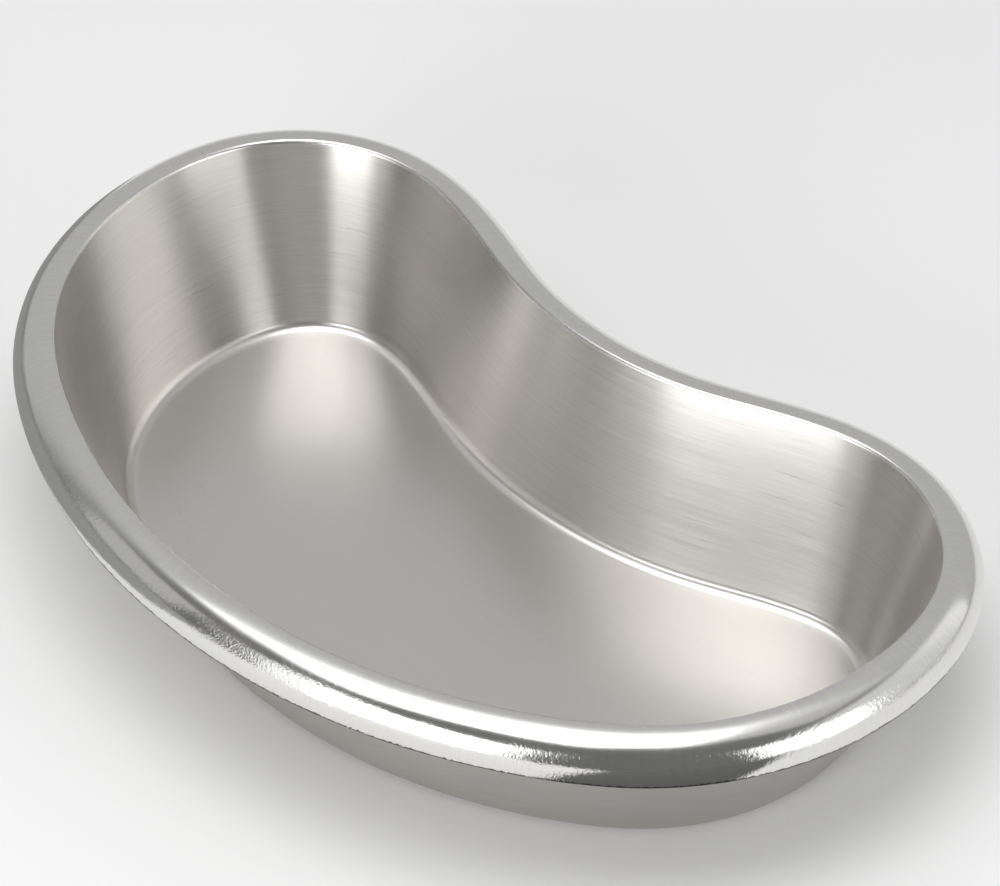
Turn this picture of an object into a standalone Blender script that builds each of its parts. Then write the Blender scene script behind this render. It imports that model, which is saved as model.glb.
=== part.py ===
"""A kidney dish: one deep-drawn stainless steel bowl whose edge is rolled over and down.

Metres, +Z up. The dish is long in X, its bulging side faces -Y and its waist faces +Y.
The origin is on the flat underside, below the middle of the rim's outer box.

The shape is a section swept round a closed plan outline. The outline is the crest of the rim,
the line where the sheet's upper face points straight up. The section is drawn in the upright
plane square to the outline: an offset outwards from the crest, and a height.
"""

import math

import bmesh
import bpy

MM = 0.001

# Overall sizes
LENGTH = 250.0 * MM
HEIGHT = 50.5 * MM
SHEET = 0.8 * MM

# Section: the corner of the floor, the slope of the wall and the rolled rim.
# Each radius is that of the sheet's upper face, and drafts are measured from upright.
FLOOR_CORNER_RADIUS = 3.5 * MM
END_DRAFT = math.radians(17.0)
BULGE_DRAFT = math.radians(18.6)
WAIST_DRAFT = math.radians(12.2)
LIP_RADIUS = 1.2 * MM
RIM_RADIUS = 9.0 * MM
RIM_TUCK = math.radians(5.0)

# Plan outline of the crest, from the middle of the bulging side to the middle of the waist.
# Arcs meet smoothly, and each ends where the outline heads in the direction given.
BULGE_END = math.radians(36.0)
SHOULDER_RADIUS = 74.0 * MM
SHOULDER_END = math.radians(104.0)
LOBE_RADIUS = 42.0 * MM
LOBE_END = math.radians(193.0)
HAUNCH_RADIUS = 135.0 * MM
HAUNCH_END = math.radians(204.0)

# Facets
OUTLINE_STEP = math.radians(6.0)
LONGEST_CHORD = 10.0 * MM
CORNER_STEPS = 4
LIP_STEPS = 3
RIM_STEPS = 6

QUARTER = math.radians(90.0)
SMOOTH_BELOW = math.radians(40.0)
STEEL_COLOUR = (0.60, 0.59, 0.56, 1.0)
STEEL_ROUGHNESS = 0.33


def clear_scene():
    for obj in list(bpy.data.objects):
        bpy.data.objects.remove(obj, do_unlink=True)


def arc_headings(start, end, radius):
    """Evenly spaced headings along an arc, with one at every quarter turn it passes."""
    low, high = sorted((start, end))
    first_quarter = math.floor(low / QUARTER) + 1
    last_quarter = math.ceil(high / QUARTER) - 1
    stops = [low] + [q * QUARTER for q in range(first_quarter, last_quarter + 1)] + [high]
    headings = [low]
    for here, there in zip(stops, stops[1:]):
        turn = there - here
        steps = math.ceil(max(turn / OUTLINE_STEP, turn * radius / LONGEST_CHORD) - 1e-6)
        headings += [here + turn * (i + 1) / steps for i in range(steps)]
    return headings if start < end else headings[::-1]


def outline_arcs():
    """(radius, start heading, end heading) of each arc of one half; the waist turns back."""
    half_crest = LENGTH / 2 - RIM_RADIUS
    bulge_radius = (half_crest - SHOULDER_RADIUS * (1 - math.sin(BULGE_END))) / math.sin(BULGE_END)
    arcs = [
        (bulge_radius, 0.0, BULGE_END),
        (SHOULDER_RADIUS, BULGE_END, SHOULDER_END),
        (LOBE_RADIUS, SHOULDER_END, LOBE_END),
        (HAUNCH_RADIUS, LOBE_END, HAUNCH_END),
    ]
    haunch_end_x = sum(r * (math.sin(end) - math.sin(start)) for r, start, end in arcs)
    waist_radius = haunch_end_x / -math.sin(HAUNCH_END)
    arcs.append((waist_radius, HAUNCH_END, math.pi))
    return arcs


def crest_outline():
    """Stations round the crest, anticlockwise from above: (x, y, outward x, outward y)."""
    half = []
    x = y = 0.0
    for radius, start, end in outline_arcs():
        signed = radius if end > start else -radius
        headings = arc_headings(start, end, radius)
        here_x = x - signed * math.sin(start)
        here_y = y + signed * math.cos(start)
        for heading in headings[:-1]:
            px = here_x + signed * math.sin(heading)
            py = here_y - signed * math.cos(heading)
            half.append((px, py, math.sin(heading), -math.cos(heading)))
        x = here_x + signed * math.sin(end)
        y = here_y - signed * math.cos(end)
    half.append((0.0, y, 0.0, 1.0))
    middle = (min(s[1] for s in half) + max(s[1] for s in half)) / 2
    half = [(px, py - middle, nx, ny) for px, py, nx, ny in half]
    other_half = [(-px, py, -nx, ny) for px, py, nx, ny in half[-2:0:-1]]
    return half + other_half


def wall_draft(nx, ny):
    """The wall's slope where it faces (nx, ny), blended between ends, bulge and waist."""
    side_draft = BULGE_DRAFT if ny < 0 else WAIST_DRAFT
    return END_DRAFT * nx * nx + side_draft * ny * ny


def arc_points(centre, radius, start, end, steps):
    """Points of a section arc. Angles are those of the upper face's normal, from outwards."""
    angles = [start + (end - start) * i / steps for i in range(steps + 1)]
    return [(centre[0] + radius * math.cos(a), centre[1] + radius * math.sin(a)) for a in angles]


def section(draft):
    """(offset, height) round the sheet: up the inside, over the rim, and back underneath."""
    face = math.pi - draft
    corner_top = SHEET + FLOOR_CORNER_RADIUS * (1 - math.sin(draft))
    lip_foot = HEIGHT - LIP_RADIUS * (1 - math.sin(draft))
    run = (lip_foot - corner_top) * math.tan(draft)
    corner_offset = -(LIP_RADIUS + FLOOR_CORNER_RADIUS) * math.cos(draft) - run
    corner = (corner_offset, SHEET + FLOOR_CORNER_RADIUS)
    lip = (0.0, HEIGHT - LIP_RADIUS)
    rim = (0.0, HEIGHT - RIM_RADIUS)

    def face_points(depth):
        """The same face, this far below the sheet's upper face."""
        points = arc_points(corner, -FLOOR_CORNER_RADIUS - depth, QUARTER, face, CORNER_STEPS)
        points += arc_points(lip, LIP_RADIUS - depth, face, QUARTER, LIP_STEPS)
        points += arc_points(rim, RIM_RADIUS - depth, QUARTER, 0.0, RIM_STEPS)[1:]
        points += arc_points(rim, RIM_RADIUS - depth, 0.0, -RIM_TUCK, 1)[1:]
        return points

    return face_points(0.0) + face_points(SHEET)[::-1]


def swept_mesh():
    """Rings of the section at every station, skinned, with the floor's two faces filled."""
    bm = bmesh.new()
    stations = []
    for x, y, nx, ny in crest_outline():
        column = [
            bm.verts.new((x + offset * nx, y + offset * ny, height))
            for offset, height in section(wall_draft(nx, ny))
        ]
        stations.append(column)
    for here, there in zip(stations, stations[1:] + stations[:1]):
        for i in range(len(here) - 1):
            bm.faces.new((here[i], there[i], there[i + 1], here[i + 1]))
    bm.faces.new([column[0] for column in stations])
    bm.faces.new([column[-1] for column in stations])
    bmesh.ops.recalc_face_normals(bm, faces=bm.faces)
    mesh = bpy.data.meshes.new("kidney_bowl")
    bm.to_mesh(mesh)
    bm.free()
    mesh.shade_smooth()
    mesh.set_sharp_from_angle(angle=SMOOTH_BELOW)
    return mesh


def satin_steel():
    material = bpy.data.materials.new("satin_steel")
    material.use_nodes = True
    shader = material.node_tree.nodes["Principled BSDF"]
    shader.inputs["Base Color"].default_value = STEEL_COLOUR
    shader.inputs["Metallic"].default_value = 1.0
    shader.inputs["Roughness"].default_value = STEEL_ROUGHNESS
    return material


def add_kidney_bowl():
    mesh = swept_mesh()
    mesh.materials.append(satin_steel())
    bowl = bpy.data.objects.new("kidney_bowl", mesh)
    bpy.context.scene.collection.objects.link(bowl)


clear_scene()
add_kidney_bowl()
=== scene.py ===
"""A kidney dish of satin steel on a pale floor, in soft studio light.

Metres, +Z up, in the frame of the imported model: the dish is long in X, its bulging side faces
-Y and its waist faces +Y. One sheet of steel is swept round the plan outline of the rim's crest.
"""

import math

import bmesh
import bpy
from mathutils import Matrix, Vector, noise


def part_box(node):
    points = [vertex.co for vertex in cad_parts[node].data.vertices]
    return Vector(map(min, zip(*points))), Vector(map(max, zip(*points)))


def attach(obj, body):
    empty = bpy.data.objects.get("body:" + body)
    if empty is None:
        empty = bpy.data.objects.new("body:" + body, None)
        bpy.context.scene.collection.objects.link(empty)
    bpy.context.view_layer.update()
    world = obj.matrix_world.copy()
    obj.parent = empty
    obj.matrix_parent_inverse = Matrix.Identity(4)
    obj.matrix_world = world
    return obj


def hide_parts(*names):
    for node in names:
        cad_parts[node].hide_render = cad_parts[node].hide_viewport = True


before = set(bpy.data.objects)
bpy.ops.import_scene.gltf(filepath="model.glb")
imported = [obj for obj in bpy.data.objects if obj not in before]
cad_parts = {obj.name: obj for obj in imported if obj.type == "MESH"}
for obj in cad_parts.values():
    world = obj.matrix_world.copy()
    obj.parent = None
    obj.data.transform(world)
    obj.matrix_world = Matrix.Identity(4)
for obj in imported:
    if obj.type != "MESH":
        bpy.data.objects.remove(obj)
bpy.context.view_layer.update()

MM = 0.001
NODE = "kidney_bowl"
LOW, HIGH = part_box(NODE)
LENGTH = HIGH[0] - LOW[0]
HEIGHT = HIGH[2] - LOW[2]
SHEET = 0.8 * MM

# Section: radii are those of the sheet's upper face, drafts are measured from upright.
FLOOR_CORNER_RADIUS = 3.5 * MM
END_DRAFT = math.radians(17.0)
BULGE_DRAFT = math.radians(18.6)
WAIST_DRAFT = math.radians(12.2)
LIP_RADIUS = 1.2 * MM
RIM_RADIUS = 9.0 * MM
RIM_TUCK = math.radians(5.0)

# Plan outline of the crest, from the middle of the bulging side to the middle of the waist:
# (radius, heading where the arc ends). The waist's arc closes it.
BULGE_END = math.radians(36.0)
SHOULDER_RADIUS = 74.0 * MM
SHOULDER_END = math.radians(104.0)
LOBE_RADIUS = 42.0 * MM
LOBE_END = math.radians(193.0)
HAUNCH_RADIUS = 135.0 * MM
HAUNCH_END = math.radians(204.0)
BLEND_LENGTH = 9.0 * MM
BLEND_SAMPLES = 9

# Fineness of the mesh, its UV map, and its materials by place
STATIONS = 720
BRUSHING = "Brushing"
ON_FLOOR, ON_WALL, ON_RIM, ON_CUT, ON_BACK = range(5)
FLOOR_RINGS = (14.0 * MM, 9.0 * MM, 5.0 * MM, 2.0 * MM)
CORNER_STEPS = 7
WALL_STEPS = 4
LIP_STEPS = 5
RIM_STEPS = 15
TUCK_STEPS = 2
QUARTER = math.radians(90.0)
SHARP_FROM = math.radians(40.0)

# Irregularities of a pressed and hand-finished sheet
WALL_WAVE = 0.10 * MM
WALL_WAVE_LENGTH = 45.0 * MM
WALL_SEED = 3.0
EDGE_WAVE = 0.25 * MM
EDGE_WAVE_LENGTH = 22.0 * MM
EDGE_SEED = 11.0
RIM_WAVE = 0.12 * MM
RIM_WAVE_LENGTH = 18.0 * MM
RIM_SEED = 17.0
WAVE_BIAS = 0.5
BURR_HEIGHT = 0.35 * MM
BURR_LENGTH = 2.2 * MM
BURR_SEED = 31.0
BURR_GAP = 0.15
PATCH_LENGTH = 12 * BURR_LENGTH
PATCH_SEED = 47.0
PATCH_LIFT = 0.25

# Steel: colours, roughness from 0 to 1, and the depth of marks in metres
STEEL = (0.738, 0.721, 0.694)
BACK_STEEL = (0.56, 0.55, 0.525)
BRIGHT_STEEL = (0.76, 0.755, 0.735)
# Painted shade: the dark line along the rim's lower edge, where the rim overhangs the wall
EDGE_SHADE_STEEL = (0.12, 0.115, 0.105)
DARK_CUT = (0.16, 0.155, 0.145)
PALE_CUT = (0.46, 0.45, 0.43)
FLOOR_ROUGHNESS = 0.29
WALL_ROUGHNESS = 0.32
BACK_ROUGHNESS = 0.38
CREST_ROUGHNESS = 0.26
FLANK_ROUGHNESS = 0.08
WALL_ANISOTROPY = 0.95
BACK_ANISOTROPY = 0.5
STREAK_SCALE = 45.0
STREAK_STRETCH = 55.0
WALL_STREAK_DEPTH = 0.000002
BACK_STREAK_DEPTH = 0.000003
SCRATCH_SCALE = 30.0
SCRATCH_STRETCH = 70.0
SCRATCH_TURN = math.radians(-24.0)
SCRATCH_DEPTH = 0.0000003
PEEL_SCALE = 1300.0
PEEL_DEPTH = 0.00009
STROKE_SCALE = 110.0
STROKE_STRETCH = 14.0
STROKE_DEPTH = 0.0000012
TEAR_SCALE = 1500.0
TEAR_REACH = 0.30
SHEAR_SCALE = 1400.0
SHEAR_DEPTH = 0.00006

# Studio
DISH_MIDDLE = Vector((0.0, 0.0, 0.045))
FLOOR_REACH = 6.0
FLOOR_SHADE = 0.95
CARD_END = 3.0
CARD_LIFT = 1.0 * MM
MATT = 0.9
CEILING = 1.3
DARK_ROOM = 0.18
PALE_WALL = 0.52
PALE_WALL_AZIMUTH = math.radians(130.0)
PALE_WALL_RISE = math.radians(12.0)
FADE_START = 0.15
FADE_END = 0.60

# Camera
CAMERA_AZIMUTH = math.radians(-48.28)
CAMERA_ELEVATION = math.radians(42.43)
CAMERA_ROLL = math.radians(1.44)
CAMERA_DISTANCE = 1.2918
CAMERA_AIM = Vector((-0.0102, 0.0313, 0.025))
CAMERA_LENS = 197.3
SENSOR_WIDTH = 36.0


# ---------------------------------------------------------------- outline and section

def outline_arcs():
    """(signed radius, start heading, end heading) of each arc of one half."""
    half_crest = LENGTH / 2 - RIM_RADIUS
    bulge_radius = (half_crest - SHOULDER_RADIUS * (1 - math.sin(BULGE_END))) / math.sin(BULGE_END)
    arcs = [
        (bulge_radius, 0.0, BULGE_END),
        (SHOULDER_RADIUS, BULGE_END, SHOULDER_END),
        (LOBE_RADIUS, SHOULDER_END, LOBE_END),
        (HAUNCH_RADIUS, LOBE_END, HAUNCH_END),
    ]
    haunch_end_x = sum(r * (math.sin(end) - math.sin(start)) for r, start, end in arcs)
    arcs.append((haunch_end_x / math.sin(HAUNCH_END), HAUNCH_END, math.pi))
    return arcs


def heading_at(arcs, distance):
    """The outline's heading this far along one half, from the middle of the bulge."""
    for radius, start, end in arcs:
        length = radius * (end - start)
        if distance <= length:
            return start + distance / radius
        distance -= length
    return math.pi


def blended_heading(arcs, half_length, distance):
    """The heading averaged over a short stretch, so that curvature changes gently."""
    total = 0.0
    for i in range(BLEND_SAMPLES):
        at = distance + BLEND_LENGTH * (2 * i / (BLEND_SAMPLES - 1) - 1)
        if at < 0:
            total -= heading_at(arcs, -at)
        elif at > half_length:
            total += 2 * math.pi - heading_at(arcs, 2 * half_length - at)
        else:
            total += heading_at(arcs, at)
    return total / BLEND_SAMPLES


def crest_outline():
    """Stations round the crest, anticlockwise from above, and the crest's length.

    Each station is (x, y, outward x, outward y, distance along the crest).
    """
    arcs = outline_arcs()
    half_length = sum(radius * (end - start) for radius, start, end in arcs)
    half_count = STATIONS // 2
    step = half_length / half_count
    half = []
    x = y = 0.0
    for i in range(half_count + 1):
        heading = blended_heading(arcs, half_length, i * step)
        half.append((x, y, heading, i * step))
        middle = blended_heading(arcs, half_length, (i + 0.5) * step)
        x += step * math.cos(middle)
        y += step * math.sin(middle)
    drift = half[-1][0]
    half = [(px - drift * s / half_length, py, a, s) for px, py, a, s in half]
    widest = max(p[0] for p in half) / (LENGTH / 2 - RIM_RADIUS)
    lowest = min(p[1] for p in half)
    highest = max(p[1] for p in half)
    half = [
        (px / widest, py - (lowest + highest) / 2, math.sin(a), -math.cos(a), s)
        for px, py, a, s in half
    ]
    other_half = [(-px, py, -nx, ny, 2 * half_length - s) for px, py, nx, ny, s in half[-2:0:-1]]
    return half + other_half, 2 * half_length


def wall_draft(nx, ny):
    """The wall's lean from upright where the outline faces this way."""
    side_draft = BULGE_DRAFT if ny < 0 else WAIST_DRAFT
    return END_DRAFT * nx * nx + side_draft * ny * ny


def arc_points(centre, radius, start, end, steps):
    """Points of a section arc, ends included."""
    angles = [start + (end - start) * i / steps for i in range(steps + 1)]
    return [(centre[0] + radius * math.cos(a), centre[1] + radius * math.sin(a)) for a in angles]


def face_points(draft, depth):
    """(offset, height) from the floor to the cut edge, this far below the upper face."""
    face = math.pi - draft
    corner_top = SHEET + FLOOR_CORNER_RADIUS * (1 - math.sin(draft))
    lip_foot = HEIGHT - LIP_RADIUS * (1 - math.sin(draft))
    run = (lip_foot - corner_top) * math.tan(draft)
    corner_offset = -(LIP_RADIUS + FLOOR_CORNER_RADIUS) * math.cos(draft) - run
    corner = (corner_offset, SHEET + FLOOR_CORNER_RADIUS)
    lip = (0.0, HEIGHT - LIP_RADIUS)
    rim = (0.0, HEIGHT - RIM_RADIUS)
    points = [(corner_offset - inward, SHEET - depth) for inward in FLOOR_RINGS]
    points += arc_points(corner, -FLOOR_CORNER_RADIUS - depth, QUARTER, face, CORNER_STEPS)
    top = arc_points(lip, LIP_RADIUS - depth, face, QUARTER, LIP_STEPS)
    foot = points[-1]
    for i in range(1, WALL_STEPS):
        share = i / WALL_STEPS
        points.append(tuple(a + (b - a) * share for a, b in zip(foot, top[0])))
    points += top
    points += arc_points(rim, RIM_RADIUS - depth, QUARTER, 0.0, RIM_STEPS)[1:]
    points += arc_points(rim, RIM_RADIUS - depth, 0.0, -RIM_TUCK, TUCK_STEPS)[1:]
    return points


# The last row of each stretch of the section
FLOOR_END = len(FLOOR_RINGS)
CORNER_END = FLOOR_END + CORNER_STEPS
WALL_END = CORNER_END + WALL_STEPS
LIP_END = WALL_END + LIP_STEPS
EDGE_ROW = LIP_END + RIM_STEPS + TUCK_STEPS


# ---------------------------------------------------------------- mesh

def ripple(along, length, seed):
    """Smooth noise round the outline, about -1 to 1, which meets itself."""
    turn = 2 * math.pi * along[0] / along[1]
    radius = along[1] / (2 * math.pi) / length
    return noise.noise(Vector((radius * math.cos(turn), radius * math.sin(turn), seed)))


def burr(along):
    """How far the shear's burr hangs down here, as a share: it comes in patches."""
    rough = ripple(along, BURR_LENGTH, BURR_SEED)
    patch = ripple(along, PATCH_LENGTH, PATCH_SEED)
    return max(0.0, rough - BURR_GAP) * max(0.0, patch + PATCH_LIFT)


def moved(row, offset, height, along):
    """A section point with its part of the sheet's irregularities."""
    if CORNER_END < row < LIP_END:
        share = math.sin(math.pi * (row - CORNER_END) / (LIP_END - CORNER_END))
        offset += WALL_WAVE * share * ripple(along, WALL_WAVE_LENGTH, WALL_SEED)
    elif row > LIP_END:
        share = (row - LIP_END) / (EDGE_ROW - LIP_END)
        edge_wave = WAVE_BIAS + ripple(along, EDGE_WAVE_LENGTH, EDGE_SEED)
        rim_wave = WAVE_BIAS + ripple(along, RIM_WAVE_LENGTH, RIM_SEED)
        height -= EDGE_WAVE * share ** 4 * edge_wave
        height -= RIM_WAVE * math.sin(math.pi * share) * rim_wave
    if row == EDGE_ROW:
        height -= BURR_HEIGHT * burr(along)
    return offset, height


def section_column(bm, station, perimeter):
    """The vertices of one section, up the upper face and back down the lower: (vertex, across)."""
    grain = bm.verts.layers.float_vector["grain"]
    polish = bm.verts.layers.float["polish"]
    x, y, nx, ny, s = station
    draft = wall_draft(nx, ny)
    upper = face_points(draft, 0.0)
    lower = face_points(draft, SHEET)
    path = [(row, upper[row]) for row in range(EDGE_ROW + 1)]
    path += [(row, lower[row]) for row in range(EDGE_ROW, -1, -1)]
    turn = 2 * math.pi * s / perimeter
    radius = perimeter / (2 * math.pi)
    column = []
    across = 0.0
    last = upper[0]
    for row, point in path:
        offset, height = moved(row, *point, (s, perimeter))
        across += math.dist((offset, height), last)
        last = (offset, height)
        vert = bm.verts.new((x + offset * nx, y + offset * ny, height))
        vert[grain] = (radius * math.cos(turn), radius * math.sin(turn), across)
        vert[polish] = min(1.0, max(0.0, (row - LIP_END) / (EDGE_ROW - LIP_END)))
        column.append((vert, across))
    return column


def face_zones():
    """The material of each band of faces, from the upper floor round to the underside."""
    return (
        [ON_FLOOR] * (CORNER_END - 1) + [ON_WALL] * (WALL_END - CORNER_END + 1)
        + [ON_RIM] * (EDGE_ROW - WALL_END) + [ON_CUT]
        + [ON_BACK] * EDGE_ROW
    )


def bowl_mesh(materials):
    """The pressed sheet as one closed mesh, with the grain of its brushing."""
    stations, perimeter = crest_outline()
    bm = bmesh.new()
    bm.verts.layers.float_vector.new("grain")
    bm.verts.layers.float.new("polish")
    uv = bm.loops.layers.uv.new(BRUSHING)
    columns = [(section_column(bm, station, perimeter), station[4]) for station in stations]
    for (here, s), (there, t) in zip(columns, columns[1:] + [(columns[0][0], perimeter)]):
        for i, zone in enumerate(face_zones()):
            corners = ((here[i], s), (there[i], t), (there[i + 1], t), (here[i + 1], s))
            face = bm.faces.new([vert for (vert, _), _ in corners])
            face.material_index = zone
            for loop, ((_, across), along) in zip(face.loops, corners):
                loop[uv].uv = (along, across)
    for end, zone in ((0, ON_FLOOR), (-1, ON_BACK)):
        cap = bm.faces.new([column[end][0] for column, _ in columns])
        cap.material_index = zone
    bmesh.ops.recalc_face_normals(bm, faces=bm.faces)
    mesh = bpy.data.meshes.new("pressed_bowl")
    bm.to_mesh(mesh)
    bm.free()
    for material in materials:
        mesh.materials.append(material)
    mesh.shade_smooth()
    mesh.set_sharp_from_angle(angle=SHARP_FROM)
    return mesh


# ---------------------------------------------------------------- materials

class Nodes:
    """A short way to write a material's nodes."""

    def __init__(self, name):
        self.material = bpy.data.materials.new(name)
        self.material.use_nodes = True
        self.tree = self.material.node_tree
        self.shader = self.tree.nodes["Principled BSDF"]

    def add(self, kind, inputs=None, **settings):
        node = self.tree.nodes.new(kind)
        for name, value in settings.items():
            setattr(node, name, value)
        for socket, value in (inputs or {}).items():
            self.set(node, socket, value)
        return node

    def set(self, node, socket, value):
        if isinstance(value, bpy.types.NodeSocket):
            self.tree.links.new(value, node.inputs[socket])
        else:
            node.inputs[socket].default_value = value

    def stretched(self, source, scale):
        inputs = {0: source, 1: scale}
        return self.add("ShaderNodeVectorMath", inputs, operation="MULTIPLY").outputs[0]

    def noise(self, vector, scale, detail=4.0, roughness=0.6):
        return self.add("ShaderNodeTexNoise", {
            "Vector": vector, "Scale": scale, "Detail": detail, "Roughness": roughness,
        }).outputs["Fac"]

    def added(self, first, second):
        return self.add("ShaderNodeMath", {0: first, 1: second}, operation="ADD").outputs[0]

    def multiplied(self, first, second):
        return self.add("ShaderNodeMath", {0: first, 1: second}, operation="MULTIPLY").outputs[0]

    def ranged(self, value, low, high, start=0.3, end=0.7):
        return self.add("ShaderNodeMapRange", {
            "Value": value, "From Min": start, "From Max": end, "To Min": low, "To Max": high,
        }).outputs["Result"]

    def mixed(self, share, first, second):
        node = self.add("ShaderNodeMix", data_type="RGBA")
        self.set(node, 0, share)
        self.set(node, 6, first)
        self.set(node, 7, second)
        return node.outputs[2]

    def bump(self, height, distance, strength=1.0, normal=None):
        inputs = {"Height": height, "Distance": distance, "Strength": strength}
        if normal:
            inputs["Normal"] = normal
        return self.add("ShaderNodeBump", inputs).outputs["Normal"]


def steel_nodes(name):
    nodes = Nodes(name)
    nodes.shader.inputs["Metallic"].default_value = 1.0
    return nodes


def shaded(colour, share=1.0):
    return tuple(min(1.0, c * share) for c in colour) + (1.0,)


def satin_steel(name, colour, roughness, anisotropy, streak_depth):
    """Steel brushed along the sheet's outline, with faint streaks and cloudy wear."""
    nodes = steel_nodes(name)
    shader = nodes.shader
    along = nodes.add("ShaderNodeAttribute", attribute_name="grain").outputs["Vector"]
    place = nodes.add("ShaderNodeTexCoord").outputs["Object"]
    stretched = nodes.stretched(along, (1.0, 1.0, STREAK_STRETCH))
    streaks = nodes.noise(stretched, STREAK_SCALE, 6.0, 0.7)
    clouds = nodes.noise(place, 26.0, 3.0, 0.5)
    nodes.set(shader, "Base Color", nodes.mixed(
        nodes.ranged(streaks, 0.0, 1.0), shaded(colour, 0.91), shaded(colour, 1.06)))
    nodes.set(shader, "Roughness", nodes.added(
        nodes.ranged(streaks, roughness - 0.05, roughness + 0.05),
        nodes.ranged(clouds, -0.015, 0.015),
    ))
    nodes.set(shader, "Normal", nodes.bump(streaks, streak_depth))
    shader.inputs["Anisotropic"].default_value = anisotropy
    shader.inputs["Anisotropic Rotation"].default_value = 0.25
    tangent = nodes.add("ShaderNodeTangent", direction_type="UV_MAP", uv_map=BRUSHING)
    nodes.set(shader, "Tangent", tangent.outputs["Tangent"])
    return nodes.material


def floor_steel():
    """The satin floor: an even sheen with cloudy wear and a few long faint scratches."""
    nodes = steel_nodes("satin_floor")
    shader = nodes.shader
    place = nodes.add("ShaderNodeTexCoord").outputs["Object"]
    clouds = nodes.noise(place, 22.0, 4.0, 0.55)
    turned = nodes.add("ShaderNodeMapping", {
        "Vector": place, "Rotation": (0.0, 0.0, SCRATCH_TURN), "Scale": (1.0, SCRATCH_STRETCH, 1.0),
    }).outputs["Vector"]
    scratches = nodes.noise(turned, SCRATCH_SCALE, 5.0, 0.75)
    nodes.set(shader, "Base Color", nodes.mixed(
        nodes.ranged(scratches, 0.0, 1.0), shaded(STEEL, 0.975), shaded(STEEL, 1.02)))
    nodes.set(shader, "Roughness", nodes.added(
        nodes.ranged(clouds, FLOOR_ROUGHNESS - 0.015, FLOOR_ROUGHNESS + 0.015),
        nodes.ranged(scratches, -0.01, 0.01),
    ))
    nodes.set(shader, "Normal", nodes.bump(scratches, SCRATCH_DEPTH))
    return nodes.material


def polished_steel():
    """The rim: satin on the lip's crest, buffed bright on its flank with orange peel, with a ragged
    dark line painted along its lower edge as shade.
    """
    nodes = steel_nodes("polished_rim")
    shader = nodes.shader
    along = nodes.add("ShaderNodeAttribute", attribute_name="grain").outputs["Vector"]
    polish = nodes.add("ShaderNodeAttribute", attribute_name="polish").outputs["Fac"]
    place = nodes.add("ShaderNodeTexCoord").outputs["Object"]
    peel = nodes.noise(place, PEEL_SCALE, 3.0, 0.6)
    tears = nodes.noise(place, TEAR_SCALE, 3.0, 0.7)
    stretched = nodes.stretched(along, (STROKE_STRETCH, STROKE_STRETCH, 1.0))
    strokes = nodes.noise(stretched, STROKE_SCALE, 4.0, 0.65)
    clouds = nodes.noise(place, 35.0, 3.0, 0.6)
    # A ragged dark band next to the cut edge: painted shade under the rim, made ragged like the
    # shear's tearing
    near_edge = nodes.added(polish, nodes.multiplied(tears, TEAR_REACH))
    edge_shade = nodes.ranged(near_edge, 0.0, 1.0, 1.08, 1.10)
    clean = nodes.mixed(
        nodes.ranged(strokes, 0.0, 1.0), shaded(BRIGHT_STEEL, 0.96), shaded(BRIGHT_STEEL, 1.02))
    nodes.set(shader, "Base Color", nodes.mixed(edge_shade, clean, shaded(EDGE_SHADE_STEEL)))
    nodes.set(shader, "Roughness", nodes.added(
        nodes.ranged(polish, CREST_ROUGHNESS, FLANK_ROUGHNESS, 0.15, 0.55),
        nodes.ranged(clouds, -0.02, 0.03),
    ))
    worn = nodes.ranged(clouds, 0.25, 1.0, 0.4, 0.6)
    buffed = nodes.ranged(polish, 0.03, 1.0, 0.34, 0.46)
    relief = nodes.bump(peel, PEEL_DEPTH, nodes.multiplied(worn, buffed))
    nodes.set(shader, "Normal", nodes.bump(strokes, STROKE_DEPTH, worn, relief))
    return nodes.material


def cut_steel():
    """The raw cut edge, dull and dark, with the tearing of the shear."""
    nodes = steel_nodes("cut_edge")
    shader = nodes.shader
    place = nodes.add("ShaderNodeTexCoord").outputs["Object"]
    tears = nodes.noise(place, SHEAR_SCALE, 4.0, 0.7)
    nodes.set(shader, "Base Color", nodes.mixed(
        nodes.ranged(tears, 0.0, 1.0), shaded(DARK_CUT), shaded(PALE_CUT)))
    nodes.set(shader, "Roughness", nodes.ranged(tears, 0.35, 0.60))
    nodes.set(shader, "Normal", nodes.bump(tears, SHEAR_DEPTH))
    return nodes.material


def matt(name, shade):
    """A plain grey without shine."""
    nodes = Nodes(name)
    nodes.shader.inputs["Base Color"].default_value = (shade, shade, shade, 1.0)
    nodes.shader.inputs["Roughness"].default_value = MATT
    return nodes


# ---------------------------------------------------------------- stage, light and camera

def add_sheet(name, corners, nodes):
    """A flat staged sheet with this outline."""
    mesh = bpy.data.meshes.new(name)
    mesh.from_pydata(corners, [], [(0, 1, 2, 3)])
    mesh.materials.append(nodes.material)
    sheet = bpy.data.objects.new(name, mesh)
    bpy.context.scene.collection.objects.link(sheet)
    return sheet


def add_floor():
    reach = FLOOR_REACH
    corners = [(-reach, -reach, 0), (reach, -reach, 0), (reach, reach, 0), (-reach, reach, 0)]
    nodes = matt("pale_floor", FLOOR_SHADE)
    nodes.shader.inputs["Specular IOR Level"].default_value = 0.0
    add_sheet("floor", corners, nodes)


def add_softbox(name, azimuth, elevation, distance, width, height, radiance):
    """A rectangular lamp facing the dish from this direction, with this brightness."""
    turn = Matrix.Rotation(math.radians(azimuth), 3, "Z")
    tilt = Matrix.Rotation(-math.radians(elevation), 3, "Y")
    towards = turn @ tilt @ Vector((1.0, 0.0, 0.0))
    place_softbox(name, DISH_MIDDLE + towards * distance, towards, width, height, radiance)


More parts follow.
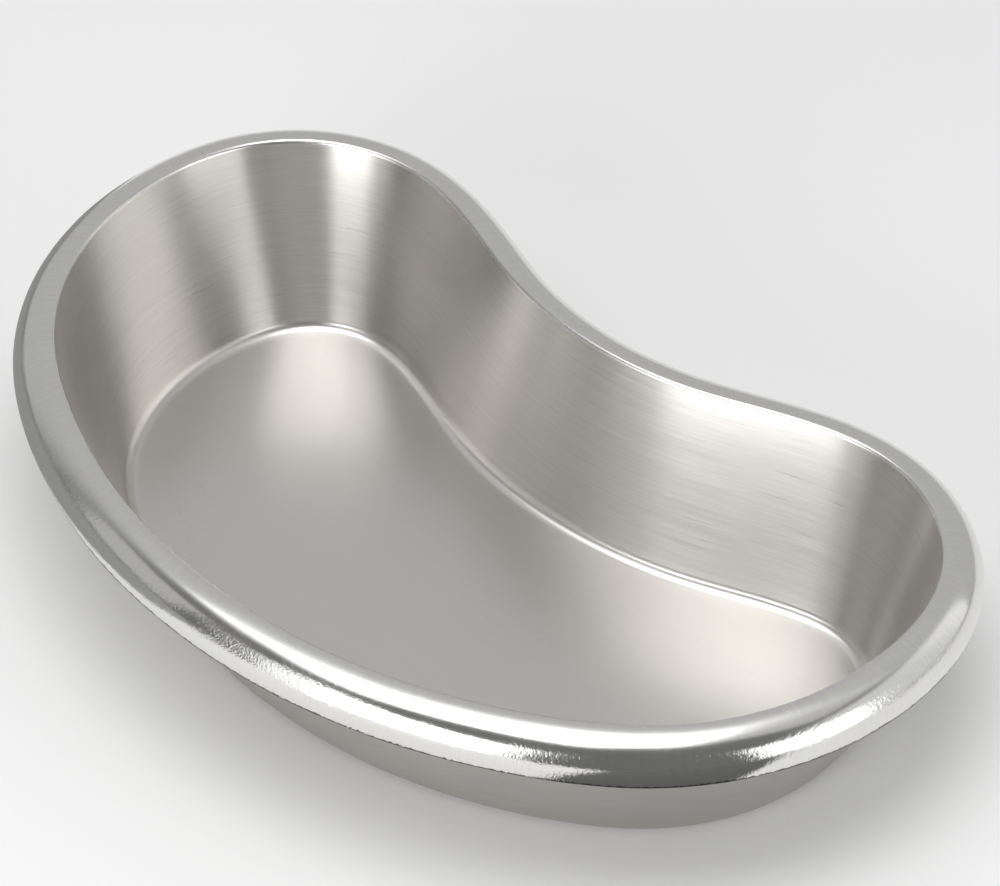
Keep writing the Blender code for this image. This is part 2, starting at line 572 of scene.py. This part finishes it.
def place_softbox(name, centre, towards, width, height, radiance, turn=0.0):
    """A rectangular lamp at this place. Its back faces `towards`, and `turn` is about the upright."""
    light = bpy.data.lights.new(name, "AREA")
    light.shape = "RECTANGLE"
    light.size = width
    light.size_y = height
    light.energy = radiance * math.pi * width * height
    lamp = bpy.data.objects.new(name, light)
    lamp.location = centre
    lamp.rotation_euler = towards.to_track_quat("Z", "Y").to_euler()
    lamp.rotation_euler.z += turn
    bpy.context.scene.collection.objects.link(lamp)


def add_ceiling_softbox(name, far, near, left, right, radiance, turn=0.0, below=0.0):
    """A lamp facing straight down. Its sides are shares of its height, before the turn."""
    middle = Vector(((far + near) / 2, (left + right) / 2, 1.0)) * CEILING
    middle.z -= below
    middle.rotate(Matrix.Rotation(turn, 3, "Z"))
    width = (near - far) * CEILING
    depth = (right - left) * CEILING
    place_softbox(name, middle, Vector((0.0, 0.0, 1.0)), width, depth, radiance, turn)


def add_shade_card(name, azimuth, start, spread, end_spread, shade):
    """A darker card on the floor, fanning out from the dish, which only reflections see: painted
    shade of the floor in the dish's reflections.
    """
    corners = []
    for distance, aside in ((start, -spread), (CARD_END, -end_spread), (CARD_END, end_spread),
                            (start, spread)):
        turn = math.radians(azimuth + aside)
        corners.append((distance * math.cos(turn), distance * math.sin(turn), CARD_LIFT))
    card = add_sheet(name, corners, matt(name, shade))
    card.visible_camera = False
    card.visible_diffuse = False
    card.visible_shadow = False


def light_studio():
    """Pale surroundings behind the dish, a dark room behind the camera, and softboxes."""
    world = bpy.data.worlds.new("studio")
    bpy.context.scene.world = world
    world.use_nodes = True
    tree = world.node_tree
    view = tree.nodes.new("ShaderNodeTexCoord")
    towards = tree.nodes.new("ShaderNodeVectorMath")
    towards.operation = "DOT_PRODUCT"
    across = math.cos(PALE_WALL_RISE)
    towards.inputs[1].default_value = (
        across * math.cos(PALE_WALL_AZIMUTH),
        across * math.sin(PALE_WALL_AZIMUTH),
        math.sin(PALE_WALL_RISE),
    )
    tree.links.new(view.outputs["Generated"], towards.inputs[0])
    fade = tree.nodes.new("ShaderNodeMapRange")
    fade.interpolation_type = "SMOOTHSTEP"
    limits = {
        "From Min": FADE_START, "From Max": FADE_END, "To Min": DARK_ROOM, "To Max": PALE_WALL,
    }
    for socket, value in limits.items():
        fade.inputs[socket].default_value = value
    tree.links.new(towards.outputs["Value"], fade.inputs["Value"])
    tree.links.new(fade.outputs["Result"], tree.nodes["Background"].inputs["Strength"])
    tree.nodes["Background"].inputs["Color"].default_value = (1.0, 1.0, 1.0, 1.0)
    add_ceiling_softbox("overhead_wide", -0.21, 0.47, -0.75, 0.26, 1.7, CAMERA_AZIMUTH)
    add_ceiling_softbox("overhead_right", -0.21, 0.40, 0.26, 0.85, 0.4, CAMERA_AZIMUTH)
    add_ceiling_softbox("overhead_core", -0.11, 0.33, -0.55, 0.11, 2.0, below=0.02)
    add_softbox("front_left", 271.0, 17.0, 1.5, 1.20, 0.95, 1.2)
    add_softbox("front_left_core", 276.0, 16.0, 1.45, 0.65, 0.80, 3.3)
    add_softbox("front_right", 4.0, 15.0, 1.5, 0.85, 0.85, 1.7)
    add_softbox("right_side", 40.0, 22.0, 1.5, 1.50, 1.15, 0.55)
    add_softbox("back_left", 222.0, 18.0, 1.5, 0.60, 0.90, 0.35)


def add_camera():
    """The camera, looking at the dish from its azimuth and elevation, rolled a little."""
    camera = bpy.data.objects.new("camera", bpy.data.cameras.new("camera"))
    camera.data.sensor_width = SENSOR_WIDTH
    camera.data.lens = CAMERA_LENS
    across = math.cos(CAMERA_ELEVATION)
    back = Vector((
        across * math.cos(CAMERA_AZIMUTH),
        across * math.sin(CAMERA_AZIMUTH),
        math.sin(CAMERA_ELEVATION),
    ))
    right = Vector((-math.sin(CAMERA_AZIMUTH), math.cos(CAMERA_AZIMUTH), 0.0))
    up = back.cross(right)
    turned_right = right * math.cos(CAMERA_ROLL) + up * math.sin(CAMERA_ROLL)
    turned_up = up * math.cos(CAMERA_ROLL) - right * math.sin(CAMERA_ROLL)
    axes = Matrix((turned_right, turned_up, back)).transposed()
    camera.matrix_world = Matrix.Translation(CAMERA_AIM + back * CAMERA_DISTANCE) @ axes.to_4x4()
    bpy.context.scene.collection.objects.link(camera)
    bpy.context.scene.camera = camera


def add_bowl():
    """The visible dish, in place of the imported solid."""
    materials = [
        floor_steel(),
        satin_steel("brushed_wall", STEEL, WALL_ROUGHNESS, WALL_ANISOTROPY, WALL_STREAK_DEPTH),
        polished_steel(),
        cut_steel(),
        satin_steel("satin_back", BACK_STEEL, BACK_ROUGHNESS, BACK_ANISOTROPY, BACK_STREAK_DEPTH),
    ]
    bowl = bpy.data.objects.new("pressed_bowl", bowl_mesh(materials))
    bpy.context.scene.collection.objects.link(bowl)
    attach(bowl, "root")
    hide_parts(NODE)


add_bowl()
add_floor()
# Painted shade seen only in reflections: a shadow on the floor towards the camera, and a less lit
# floor at the left
add_shade_card("front_shadow_card", -28.0, 0.125, 14.0, 24.0, 0.12)
add_shade_card("left_shade_card", 200.0, 0.155, 40.0, 44.0, 0.34)
light_studio()
add_camera()
bpy.context.scene.view_settings.view_transform = "Standard"
